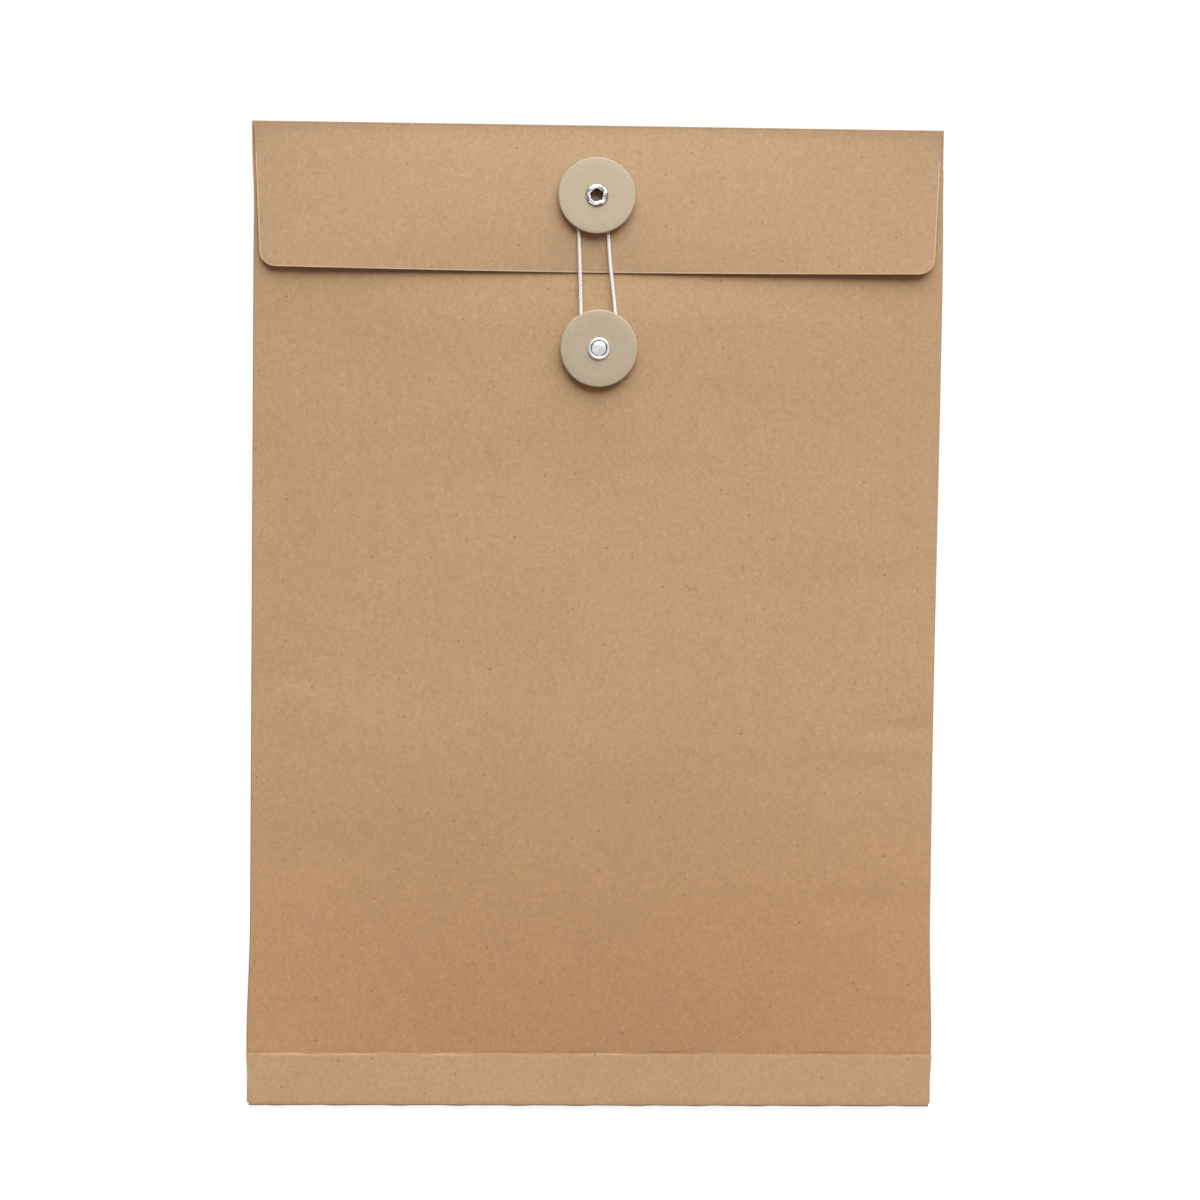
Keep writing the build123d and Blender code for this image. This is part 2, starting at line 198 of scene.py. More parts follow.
class EnvelopePaper(bpy.types.PropertyGroup):
    thickness: length("Paper", "Thickness of the kraft sheet", 0.35 * MM)
    half_width: length("Half width", "Middle to the sheet's side edge", back_high.x)
    outer_width: length("Outer half width", "Middle to the outside of the side folds", cad_high.x)
    tab_width: length("Side tabs", "Width of the side tabs", 27.5 * MM)
    hem: length("Hem", "Width of the side tabs below their ends", 6 * MM)
    band_taper: length("Band taper", "How much each end of the band leans in", 0.9 * MM)
    top: length("Top fold", "Height of the flap's fold on the page", cad_high.y)
    fold_radius: length("Fold radius", "Outside radius of the flap's fold", 0.5 * MM)
    mouth_drop: length("Mouth", "Fold to the pocket's mouth", 13 * MM)
    rise_drop: length("Swell full", "Fold to where the swell is full", 68 * MM)
    fall_drop: length("Swell falls", "Fold to where the swell starts to fall", 190 * MM)
    band_drop: length("Band", "Fold to the bottom band's edge", 308 * MM)
    mouth_crown: length("Mouth swell", "Height of the swell at the mouth", 1.4 * MM)
    full_crown: length("Full swell", "Height of the swell at the middle", 5.2 * MM)
    front_face: length("Front face", "Level of the front sheet's face at its sides", 1.15 * MM)
    ripple: length("Ripple", "Height of the sheet's slow ripples", 0.14 * MM)
    flap_depth: length("Flap", "Fold to the flap's lower edge", 48.7 * MM)
    flap_edge_level: length("Flap edge", "Level of the flap's lower edge", 6.2 * MM)
    flap_bow: length("Flap bow", "Rise of the flap between its fold and edge", 1.5 * MM)
    flap_droop: length("Flap droop", "Fall of the flap's lower corners", 2.5 * MM)
    corner_radius: length("Flap corners", "Radius of the flap's lower corners", 5 * MM)
    draw_in: length("Draw in", "How far the swell draws each side in", 1.0 * MM)
    kraft: tone("Kraft", "Colour of the paper", (0.510, 0.320, 0.176))
    # Painted shade: a slightly darker copy of the kraft for the flap, which tones down the face that leans
    # into the light
    flap_shaded_kraft: tone("Flap kraft", "Colour of the paper on the flap", (0.492, 0.311, 0.177))
    # Painted shade: a darker, warmer kraft that the front sheet and side tabs fade to towards the band,
    # where the swell falls away
    painted_foot_shade: tone("Foot kraft", "Colour of the front sheet towards the band", (0.490, 0.280, 0.138))
    # Partly painted highlight: the cut edges' own paler colour, brightened further to stand in for the
    # light caught along the paper's edges
    cut_edge_and_highlight: tone("Cut edge", "Colour of the paper's cut edges", (0.64, 0.43, 0.265))
    paste: tone("Paste", "Colour of the dry paste in the seams", (0.60, 0.51, 0.34))


class EnvelopeButtons(bpy.types.PropertyGroup):
    disc_radius: length("Disc", "Radius of the board discs", (disc_high.x - disc_low.x) / 2)
    disc_foot: length("Disc foot", "Paper to the underside of a disc", 1.6 * MM)
    disc_thickness: length("Board", "Thickness of the disc board", 1.0 * MM)
    rim_radius: length("Rim", "Radius of the fasteners' rims", 3.65 * MM)
    bore_radius: length("Bore", "Radius of the eyelet's bore", 2.05 * MM)
    board: tone("Board", "Colour of the disc board", (0.496, 0.401, 0.284))
    metal: tone("Metal", "Colour of the plated fasteners", (0.80, 0.79, 0.77))
    # Painted shade: near-black metal for the eyelet's bore and rim foot and the rivet's groove
    painted_shade_metal: tone("Shaded metal", "Colour of bores and grooves, where plating is thin",
                       (0.10, 0.09, 0.085))
    washer: tone("Washer", "Colour of the backing washers", (0.27, 0.16, 0.09))


class EnvelopeString(bpy.types.PropertyGroup):
    diameter: length("String", "Diameter of the string", 1.2 * MM)
    lay: length("Lay", "Length of one twist of the strands", 4.2 * MM)
    groove: bpy.props.FloatProperty(name="Groove", description="Depth of the grooves between strands",
                                    default=0.09, min=0, max=0.3, subtype="FACTOR")
    cotton: tone("Cotton", "Colour of the string", (0.92, 0.91, 0.89))


class EnvelopeStage(bpy.types.PropertyGroup):
    lens: bpy.props.FloatProperty(name="Lens", description="Focal length", default=85, unit="CAMERA")
    camera_at: bpy.props.FloatVectorProperty(
        name="Camera", description="Where the camera stands",
        default=(-0.0337, 0.0453, 0.9399), size=3, subtype="TRANSLATION")
    camera_turn: bpy.props.FloatVectorProperty(
        name="Camera turn", description="How the camera is turned",
        default=[math.radians(angle) for angle in (-2.390, -2.135, 0.587)], size=3, subtype="EULER")
    key_height: degrees("Key height", "Key light above the horizon", 25)
    key_side: degrees("Key side", "Key light to the right of the top", 10)
    key_spread: degrees("Key spread", "Softness of the key light", 72)
    key_power: power("Key power", "Strength of the key light", 5.97)
    key_tone: tone("Key tone", "Colour of the key light", (0.894, 0.956, 1.0))
    ambient: power("Ambient", "Strength of the light all round", 0.25)
    fill_tone: tone("Fill tone", "Colour of the light all round", (1.0, 0.80, 0.66))


class Graph:
    """Small helper that adds and links nodes in one tree."""

    def __init__(self, tree):
        self.tree = tree

    def feed(self, node, inputs):
        """Gives a node its inputs: a socket is linked, and any other value is set."""
        for key, value in inputs.items():
            if isinstance(value, bpy.types.NodeSocket):
                self.tree.links.new(value, node.inputs[key])
            else:
                node.inputs[key].default_value = value

    def add(self, kind, inputs=None, **settings):
        made = self.tree.nodes.new(kind)
        for name, value in settings.items():
            setattr(made, name, value)
        self.feed(made, inputs or {})
        return made

    def math(self, operation, *values, clamp=False):
        made = self.add("ShaderNodeMath", dict(enumerate(values)), operation=operation, use_clamp=clamp)
        return made.outputs[0]

    def spread(self, value, low, high, to_low, to_high, kind="LINEAR"):
        """A value carried from one range to another, and held at the ends."""
        ranges = {"Value": value, "From Min": low, "From Max": high, "To Min": to_low, "To Max": to_high}
        return self.add("ShaderNodeMapRange", ranges, interpolation_type=kind).outputs["Result"]

    def noise(self, where, scale, detail=2.0, rough=0.5, seed=0.0):
        made = self.add("ShaderNodeTexNoise", {"Vector": where, "W": seed, "Scale": scale, "Detail": detail,
                                               "Roughness": rough}, noise_dimensions="4D")
        return made.outputs[0]

    def mixed(self, first, second, factor):
        """A colour between two others."""
        made = self.add("ShaderNodeMix", {0: factor, 6: (*first, 1), 7: (*second, 1)}, data_type="RGBA")
        return made.outputs[2]

    def tinted(self, colour, factor):
        """A colour made lighter or darker by a factor."""
        made = self.add("ShaderNodeVectorMath", {0: colour, "Scale": factor}, operation="SCALE")
        return made.outputs[0]

    def bump(self, height, strength, distance):
        made = self.add("ShaderNodeBump", {"Strength": strength, "Distance": distance, "Height": height})
        return made.outputs[0]


def start_material(name):
    material = bpy.data.materials.new(name)
    material.use_nodes = True
    graph = Graph(material.node_tree)
    shader = material.node_tree.nodes["Principled BSDF"]
    where = graph.add("ShaderNodeTexCoord").outputs["Object"]
    return material, graph, shader, where


def flecks(graph, where, cell, size, share, seed):
    """Mask of small uneven specks on the page: one in some of the cells of a random grid."""
    moved = graph.add("ShaderNodeVectorMath", {0: where, 1: (seed, 0.7 * seed, 0)}, operation="ADD")
    cells = graph.add("ShaderNodeTexVoronoi", {"Vector": moved.outputs[0], "Scale": 1 / cell},
                      voronoi_dimensions="2D", feature="F1")
    reach = size / cell
    dot = graph.spread(cells.outputs["Distance"], reach * 0.4, reach, 1.0, 0.0, "SMOOTHSTEP")
    pick = graph.add("ShaderNodeSeparateColor", {0: cells.outputs["Color"]}).outputs[0]
    chosen = graph.math("LESS_THAN", pick, share)
    return graph.math("MULTIPLY", dot, chosen)


def stirred(graph, where, amount):
    """Places moved a little by noise, so that specks aren't round."""
    stir = graph.add("ShaderNodeTexNoise", {"Vector": where, "Scale": 1500, "Detail": 1.0}).outputs["Color"]
    moved = graph.add("ShaderNodeVectorMath", {0: stir, 1: (amount, amount, amount), 2: where},
                      operation="MULTIPLY_ADD")
    return moved.outputs[0]


def kraft_material(name, colour, seed, contrast=1.0, fold=None, foot=None):
    """Kraft paper: slow clouds, mottled pulp, fine grain, dark and pale flecks.

    A flap gets painted shade along its fold, and a painted gradient that is lighter at its lower edge and
    darker towards the fold. A sheet with a foot colour takes it towards the band, as painted shade where
    the swell falls away.
    """
    material, graph, shader, where = start_material(name)
    clouds = graph.noise(where, 22, 3, 0.55, seed)
    mottle = graph.noise(where, 230, 3, 0.6, seed + 3)
    pulp = graph.noise(where, 640, 3, 0.6, seed + 5)
    grain = graph.noise(where, 2000, 3, 0.6, seed + 7)
    along = graph.add("ShaderNodeMapping", {"Vector": where, "Scale": (1.0, 0.4, 1.0)}).outputs[0]
    fibres = graph.noise(along, 1300, 3, 0.6, seed + 11)
    shade = 1.0
    for layer, depth in ((clouds, 0.025), (mottle, 0.045), (pulp, 0.095), (grain, 0.13), (fibres, 0.04)):
        depth *= contrast
        shade = graph.math("ADD", shade, graph.spread(layer, 0.25, 0.75, -depth, depth))
    spots = stirred(graph, where, 0.0006)
    for cell, size, share, depth, turn in KRAFT_FLECKS:
        speck = flecks(graph, spots, cell, size, share, seed + turn)
        shade = graph.math("ADD", shade, graph.math("MULTIPLY", speck, depth))
    height = graph.add("ShaderNodeSeparateXYZ", {0: where}).outputs["Y"]
    if fold is not None:
        # Painted shade: darker along the last millimetre at the fold crease, then a painted gradient,
        # lighter at the lower edge and darker towards the fold
        worn = graph.spread(height, fold - 1.2 * MM, fold - 0.2 * MM, 0.0, 0.25, "SMOOTHSTEP")
        shade = graph.math("SUBTRACT", shade, worn)
        painted_flap_gradient = graph.spread(height, fold - 46 * MM, fold - 4 * MM, 0.04, -0.06)
        shade = graph.math("ADD", shade, painted_flap_gradient)
    # Painted shade: the colour fades to the foot colour down the page towards the band
    if foot is not None:
        colour = graph.mixed(colour, foot, graph.spread(height, 0.01, -0.15, 0.0, 1.0, "SMOOTHSTEP"))
    rise = graph.math("ADD", graph.math("MULTIPLY", grain, 0.4), graph.math("MULTIPLY", fibres, 0.4))
    rise = graph.math("ADD", rise, pulp)
    graph.feed(shader, {
        "Base Color": graph.tinted(colour, shade),
        "Roughness": graph.spread(mottle, 0.3, 0.7, 0.74, 0.86),
        "Specular IOR Level": 0.3,
        "Normal": graph.bump(rise, 0.3, 0.06 * MM),
    })
    return material


def board_material(colour):
    """Grey-brown board of the discs, with short fibres and a soft surface."""
    material, graph, shader, where = start_material("pressed_board")
    mottle = graph.noise(where, 420, 4, 0.6, 2.0)
    grain = graph.noise(where, 2600, 3, 0.6, 5.0)
    shade = graph.spread(mottle, 0.25, 0.75, 0.95, 1.05)
    shade = graph.math("ADD", shade, graph.spread(grain, 0.25, 0.75, -0.05, 0.05))
    dark = flecks(graph, stirred(graph, where, 0.0003), 0.0022, 0.00026, 0.4, 9.0)
    shade = graph.math("SUBTRACT", shade, graph.math("MULTIPLY", dark, 0.16))
    rise = graph.math("ADD", mottle, graph.math("MULTIPLY", grain, 0.6))
    graph.feed(shader, {
        "Base Color": graph.tinted(colour, shade),
        "Roughness": 0.82,
        "Specular IOR Level": 0.3,
        "Normal": graph.bump(rise, 0.4, 0.06 * MM),
    })
    return material


def metal_material(name, colour, darkest_reflection, seed):
    """Plating with painted dark reflections in patches, smears of duller roughness, and fine scuffs."""
    material, graph, shader, where = start_material(name)
    smear_and_reflection = graph.noise(where, 430, 2, 0.5, seed)
    scuff = graph.noise(where, 3600, 3, 0.7, seed + 8)
    # Painted reflection: dark patches in the base colour stand in for dark surroundings seen in the plating
    shade = graph.spread(smear_and_reflection, 0.44, 0.53, 1.0, darkest_reflection, "SMOOTHSTEP")
    shade = graph.math("MULTIPLY", shade, graph.spread(scuff, 0.3, 0.7, 0.86, 1.06))
    graph.feed(shader, {
        "Base Color": graph.tinted(colour, shade),
        "Metallic": 1.0,
        "Roughness": graph.spread(smear_and_reflection, 0.3, 0.7, 0.18, 0.38),
        "Normal": graph.bump(scuff, 0.3, 0.05 * MM),
    })
    return material


def washer_material(colour):
    """Pressed fibre of the backing washers."""
    material, graph, shader, where = start_material("pressed_fibre")
    fibres = graph.noise(where, 1400, 4, 0.65, 6.0)
    graph.feed(shader, {
        "Base Color": graph.tinted(colour, graph.spread(fibres, 0.25, 0.75, 0.8, 1.2)),
        "Roughness": 0.8,
        "Normal": graph.bump(fibres, 0.4, 0.05 * MM),
    })
    return material


def glue_material(colour):
    """Dry paste in the seams."""
    material, graph, shader, where = start_material("dry_paste")
    streaks = graph.noise(where, 300, 3, 0.6, 1.0)
    graph.feed(shader, {
        "Base Color": graph.tinted(colour, graph.spread(streaks, 0.25, 0.75, 0.92, 1.06)),
        "Roughness": 0.5,
    })
    return material


def cotton_material(colour):
    """White cotton, soft, with fine fibres along the strands."""
    material, graph, shader, where = start_material("tie_cotton")
    fuzz = graph.noise(where, 5200, 3, 0.65, 3.0)
    soil = graph.noise(where, 160, 2, 0.5, 6.0)
    shade = graph.math("ADD", graph.spread(fuzz, 0.25, 0.75, -0.06, 0.05),
                       graph.spread(soil, 0.3, 0.7, 0.96, 1.02))
    graph.feed(shader, {
        "Base Color": graph.tinted(colour, shade),
        "Roughness": 0.85,
        "Specular IOR Level": 0.2,
        "Normal": graph.bump(fuzz, 0.5, 0.05 * MM),
    })
    return material


def new_object(name, data):
    piece = bpy.data.objects.new(name, data)
    bpy.context.scene.collection.objects.link(piece)
    return piece


def new_sheet(name, rows, paper_finish, edge_finish):
    """Surface of a sheet from a grid of points: rows down the page, columns from left to right."""
    tall, wide = len(rows), len(rows[0])
    points = [tuple(point) for row in rows for point in row]
    faces = [
        (r * wide + c, (r + 1) * wide + c, (r + 1) * wide + c + 1, r * wide + c + 1)
        for r in range(tall - 1)
        for c in range(wide - 1)
    ]
    mesh = bpy.data.meshes.new(name)
    mesh.from_pydata(points, [], faces)
    mesh.polygons.foreach_set("use_smooth", [True] * len(faces))
    mesh.materials.append(paper_finish)
    mesh.materials.append(edge_finish)
    return new_object(name, mesh)


def realise(piece):
    """Applies a piece's modifiers, so that a plain mesh with crisp edges is left."""
    graph = bpy.context.evaluated_depsgraph_get()
    mesh = bpy.data.meshes.new_from_object(piece.evaluated_get(graph))
    piece.modifiers.clear()
    piece.data = mesh
    mesh.set_sharp_from_angle(angle=CRISP_ANGLE)


def give_thickness(piece, thickness, offset, thin_group=None):
    """Turns a sheet's surface into paper with cut edges of their own finish, which is partly a painted
    highlight.
    """
    solid = piece.modifiers.new("paper", "SOLIDIFY")
    solid.thickness = thickness
    solid.offset = offset
    solid.use_even_offset = True
    solid.material_offset_rim = 1
    if thin_group:
        solid.vertex_group = thin_group
        solid.thickness_vertex_group = THIN_EDGE
    realise(piece)


def settle(piece, body, slot, *nodes):
    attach(piece, body)
    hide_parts(*nodes)


def finish_cad(names, material):
    for name in names:
        cad_nodes[name].data.materials.clear()
        cad_nodes[name].data.materials.append(material)


def smooth_step(value):
    value = min(max(value, 0.0), 1.0)
    return value * value * (3 - 2 * value)


def beyond(value, place, softness):
    """0 up to a place, 1 well beyond it, with a smooth edge between."""
    return smooth_step((value - place) / softness)


def short_of(value, place, softness):
    """1 well short of a place, 0 from it on, with a smooth edge between."""
    return smooth_step((place - value) / softness)


def hump(x, middle, reach):
    """Smooth hump that is 1 at its middle and fades on both sides."""
    return math.exp(-((x - middle) / reach) ** 2)


def waves(x, rows):
    """Sum of sine waves along x, each a row of height, span and start."""
    return sum(height * math.sin(x / span + start) for height, span, start in rows)


def page_rows(top, bottom, count, *finer):
    """Heights of a sheet's rows of points from the top down: even ones, and finer ones where given."""
    return np.unique(np.concatenate([np.linspace(top, bottom, count), *finer]))[::-1]


def start_tree(name, inputs):
    """Starts a geometry nodes tree: gives its graph and its inputs, which are listed by name and kind."""
    tree = bpy.data.node_groups.new(name, "GeometryNodeTree")
    for title, kind in {"Geometry": "Geometry", **inputs}.items():
        tree.interface.new_socket(title, in_out="INPUT", socket_type="NodeSocket" + kind)
    tree.interface.new_socket("Geometry", in_out="OUTPUT", socket_type="NodeSocketGeometry")
    graph = Graph(tree)
    return graph, graph.add("NodeGroupInput").outputs


def end_tree(graph, geometry, finish):
    """Ends a geometry nodes tree in real geometry with its finish."""
    real = graph.add("GeometryNodeRealizeInstances", {0: geometry})
    dressed = graph.add("GeometryNodeSetMaterial", {"Geometry": real.outputs[0], "Material": finish})
    graph.add("NodeGroupOutput", {0: dressed.outputs[0]})
    return graph.tree


def swell_tree():
    """Geometry nodes that raise a flat sheet into the pocket's swell and give it slow ripples."""
    sizes = ("Half Width", "Top", "Mouth Drop", "Rise Drop", "Fall Drop", "Band Drop", "Mouth Crown",
             "Full Crown", "Ripple")
    graph, given = start_tree("front_swell", {**dict.fromkeys(sizes, "Float"), "Paper": "Material"})
    place = graph.add("GeometryNodeInputPosition").outputs[0]
    x, y, _ = graph.add("ShaderNodeSeparateXYZ", {0: place}).outputs
    drop = graph.math("SUBTRACT", given["Top"], y)
    rise = graph.spread(drop, given["Mouth Drop"], given["Rise Drop"], given["Mouth Crown"],
                        given["Full Crown"], "SMOOTHSTEP")
    fall = graph.spread(drop, given["Fall Drop"], given["Band Drop"], 0.0, 1.0)
    fall = graph.math("MULTIPLY", graph.math("MULTIPLY", fall, fall), given["Full Crown"])
    crown = graph.math("SUBTRACT", rise, fall)
    across = graph.math("DIVIDE", x, given["Half Width"])
    arch = graph.math("SUBTRACT", 1.0, graph.math("MULTIPLY", across, across))
    height = graph.math("MULTIPLY", crown, arch)
    stretch = {0: place, 1: (9.0, 26.0, 1.0)}
    slow = graph.add("ShaderNodeVectorMath", stretch, operation="MULTIPLY").outputs[0]
    wave = graph.noise(slow, 1.0, 2, 0.5, 4.0)
    share = graph.math("DIVIDE", crown, given["Full Crown"], clamp=True)
    wave = graph.math("MULTIPLY", graph.spread(wave, 0.2, 0.8, -1.0, 1.0), given["Ripple"])
    height = graph.math("ADD", height, graph.math("MULTIPLY", wave, share))
    lift = graph.add("ShaderNodeCombineXYZ", {2: height}).outputs[0]
    raised = graph.add("GeometryNodeSetPosition", {"Geometry": given["Geometry"], "Offset": lift})
    return end_tree(graph, raised.outputs[0], given["Paper"])


def set_inputs(modifier, values):
    """Sets a geometry nodes modifier's inputs, found by their names, through their identifiers."""
    for item in modifier.node_group.interface.items_tree:
        if item.item_type == "SOCKET" and item.in_out == "INPUT" and item.name in values:
            modifier[item.identifier] = values[item.name]


def swell_at(paper, x, y):
    """Height of the pocket's swell at a point, as the front sheet's geometry nodes give it."""
    drop = paper.top - y
    rise = smooth_step((drop - paper.mouth_drop) / (paper.rise_drop - paper.mouth_drop))
    fall = min(max((drop - paper.fall_drop) / (paper.band_drop - paper.fall_drop), 0), 1) ** 2
    crown = paper.mouth_crown + (paper.full_crown - paper.mouth_crown) * rise - paper.full_crown * fall
    return crown * (1 - (x / paper.half_width) ** 2)


def drawn_in(paper, x, y):
    """How far the swell draws a point of the pocket in towards the middle, signed like x."""
    drop = (paper.top - y) / MM
    start = DRAW_LEFT if x < 0 else DRAW_RIGHT
    pull = beyond(drop, *start) * short_of(drop, *DRAW_END)
    return paper.draw_in * pull * x / paper.half_width


def band_press(x, phase, side):
    """How far the band's edge is pressed down at x in millimetres, 0 to 1, more on the side 1 or -1."""
    wave = waves(x, [(1.0, 4.3, phase), (0.8, 7.9, 2.1 * phase), (0.6, 17, phase)])
    return smooth_step(0.38 + 0.45 * wave) * (0.3 + 0.7 * beyond(side * x, -60, 120))


def front_relief(x, y):
    """Small relief of the front sheet, all in millimetres: dents, the tabs' ends and the band's valley."""
    relief = 0.0
    for at_x, at_y, reach_x, reach_y, depth in FRONT_DENTS:
        relief -= depth * hump(x, at_x, reach_x) * hump(y, at_y, reach_y)
    over_tab = beyond(abs(x), *STEP_INNER) * short_of(abs(x), *STEP_OUTER)
    relief -= STEP_DEPTH * over_tab * short_of(y, *STEP_TOP) * beyond(y, *STEP_FOOT)
    valley = VALLEY_LEAST + VALLEY_ADDED * band_press(x, 2.0, 1)
    return relief - valley * short_of(y, *VALLEY_TOP)


class ENVELOPE_OT_pocket(bpy.types.Operator):
    """Make the pocket: front sheet, bottom band, side tabs and back sheet, and finish its glued seams"""
    bl_idname = "envelope.pocket"
    bl_label = "Pocket"

    def execute(self, context):
        paper = context.scene.envelope_paper
        kraft = kraft_material("kraft_sheet", paper.kraft, 0.0)
        front = kraft_material("kraft_front_painted_shade", paper.kraft, 0.0, foot=paper.painted_foot_shade)
        edge = kraft_material("kraft_cut_edge", paper.cut_edge_and_highlight, 30.0, 1.3)
        self.front_sheet(paper, front, edge)
        self.bottom_band(paper, kraft, edge)
        self.side_tabs(paper, front, edge)
        self.back_sheet(paper, kraft, edge)
        finish_cad(["right_side_glue", "left_side_glue", "bottom_glue"], glue_material(paper.paste))
        return {"FINISHED"}

    def front_sheet(self, paper, kraft, edge):
        """Front sheet, with its dents in the flat grid and its swell from geometry nodes."""
        low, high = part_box("front_panel")
        columns = np.linspace(-paper.half_width, paper.half_width, 161)
        rows = []
        for y in page_rows(high.y, low.y, 131, ROWS_BY_BAND, ROWS_BY_STEP):
            row = []
            for x in columns:
                z = paper.front_face + front_relief(x / MM, y / MM) * MM
                row.append((x - drawn_in(paper, x, y), y, z))
            rows.append(row)
        piece = new_sheet("front_sheet", rows, kraft, edge)
        swell = piece.modifiers.new("swell", "NODES")
        swell.node_group = swell_tree()
        set_inputs(swell, {
            "Half Width": paper.half_width, "Top": paper.top, "Mouth Drop": paper.mouth_drop,
            "Rise Drop": paper.rise_drop, "Fall Drop": paper.fall_drop, "Band Drop": paper.band_drop,
            "Mouth Crown": paper.mouth_crown, "Full Crown": paper.full_crown, "Ripple": paper.ripple,
            "Paper": kraft,
        })
        give_thickness(piece, paper.thickness, -1)
        settle(piece, "pocket", "kraft_paper", "front_panel")

    def bottom_band(self, paper, kraft, edge):
        """Tail of the back sheet folded up over the front, its edge thin, wavy and partly pressed down."""
        low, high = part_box("bottom_seal_flap")
        roll = high.z / 2
        fold_y = low.y + roll
        columns = np.linspace(-1, 1, 301)
        rows = []
        for step in BAND_STEPS:
            width = paper.outer_width - paper.band_taper * step * MM / (high.y - fold_y)
            rows.append([self.band_point(across * width, step, high) for across in columns])
        width = paper.outer_width - paper.band_taper
        turns = 12
        for turn in range(turns + 1):
            angle = math.radians(90 + 180 * turn / turns)
            rows.append([self.fold_point(across * width, angle, roll, fold_y) for across in columns])
        piece = new_sheet("bottom_band", rows, kraft, edge)
        full = piece.vertex_groups.new(name="full_paper")
        for index in range(len(rows)):
            step = BAND_STEPS[min(index, len(BAND_STEPS) - 1)]
            first = index * len(columns)
            full.add(range(first, first + len(columns)), smooth_step(step / THIN_REACH), "REPLACE")
        give_thickness(piece, paper.thickness, -1, "full_paper")
        settle(piece, "pocket", "kraft_paper", "bottom_seal_flap")

    def band_point(self, x, step, high):
        """One point of the band's face, a step in millimetres down from its edge."""
        wave = waves(x / MM, BAND_EDGE_WAVES) - BAND_EDGE_SET_BACK
        y = high.y + (wave * math.exp(-step / BAND_EDGE_REACH) - step) * MM
        press = BAND_PRESS_LEAST + BAND_PRESS_ADDED * band_press(x / MM, 0.4, -1)
        z = high.z - (press * hump(step, 0, BAND_PRESS_REACH) + BAND_SHY) * MM
        return (x, y, z)

    def fold_point(self, x, angle, roll, fold_y):
        """One point of the band's round fold, which is a little worn along the bottom."""
        depth, place, reach = BAND_NICK
        worn = BAND_FOLD_SET_BACK + waves(x / MM, BAND_FOLD_WAVES) - depth * hump(x / MM, place, reach)
        y = fold_y + (roll - (BAND_SHY / 2 + worn) * MM) * math.cos(angle)
        return (x, y, roll + (roll - BAND_SHY * MM) * math.sin(angle))

    def side_tabs(self, paper, kraft, edge):
        """Tabs folded in from the back sheet's sides, with the round folds that show along the sides."""
        middle = paper.thickness / 2
        band_y = paper.top - paper.band_drop
        set_in_way = 30 * MM
        turns = 8
        for side, node in ((1, "right_side_tab"), (-1, "left_side_tab")):
            low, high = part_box(node)
            rows = []
            for y in page_rows(high.y, low.y, 81, ROWS_BY_TAB_CUT):
                taper = paper.band_taper * max(band_y - y, 0) / (band_y - cad_low.y)
                taper += paper.thickness * (1 - short_of(y, high.y, set_in_way))
                taper += abs(drawn_in(paper, side * paper.half_width, y))
                wide = beyond(y / MM, *TAB_CUT)
                inner = paper.half_width - (paper.hem + (paper.tab_width - paper.hem) * wide)
                row = []
                for x in np.linspace(inner, paper.half_width, 12):
                    row.append((side * (x - taper), y, 3 * middle + swell_at(paper, x, y)))
                for turn in range(1, turns + 1):
                    angle = math.radians(90 - 180 * turn / turns)
                    x = paper.half_width + middle * math.cos(angle) - taper
                    row.append((side * x, y, paper.thickness + middle * math.sin(angle)))
                rows.append(row[::side])
            piece = new_sheet(node + "_sheet", rows, kraft, edge)
            give_thickness(piece, paper.thickness, 0)
            settle(piece, "pocket", "kraft_paper", node)

    def back_sheet(self, paper, kraft, edge):
        """Flat back sheet up to the flap's fold, drawn in at the sides like the front."""
        low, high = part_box("back_panel")
        band_y = paper.top - paper.band_drop
        rows = []
        for y in np.linspace(paper.top - paper.fold_radius, low.y, 81):
            share = max(band_y - y, 0) / (band_y - low.y)
            inner = 1 - paper.band_taper * share / paper.half_width
            rows.append([(x * inner - drawn_in(paper, x, y), y, high.z)
                         for x in np.linspace(-paper.half_width, paper.half_width, 21)])
        piece = new_sheet("back_sheet", rows, kraft, edge)
        give_thickness(piece, high.z - low.z, -1)
        settle(piece, "pocket", "kraft_paper", "back_panel")


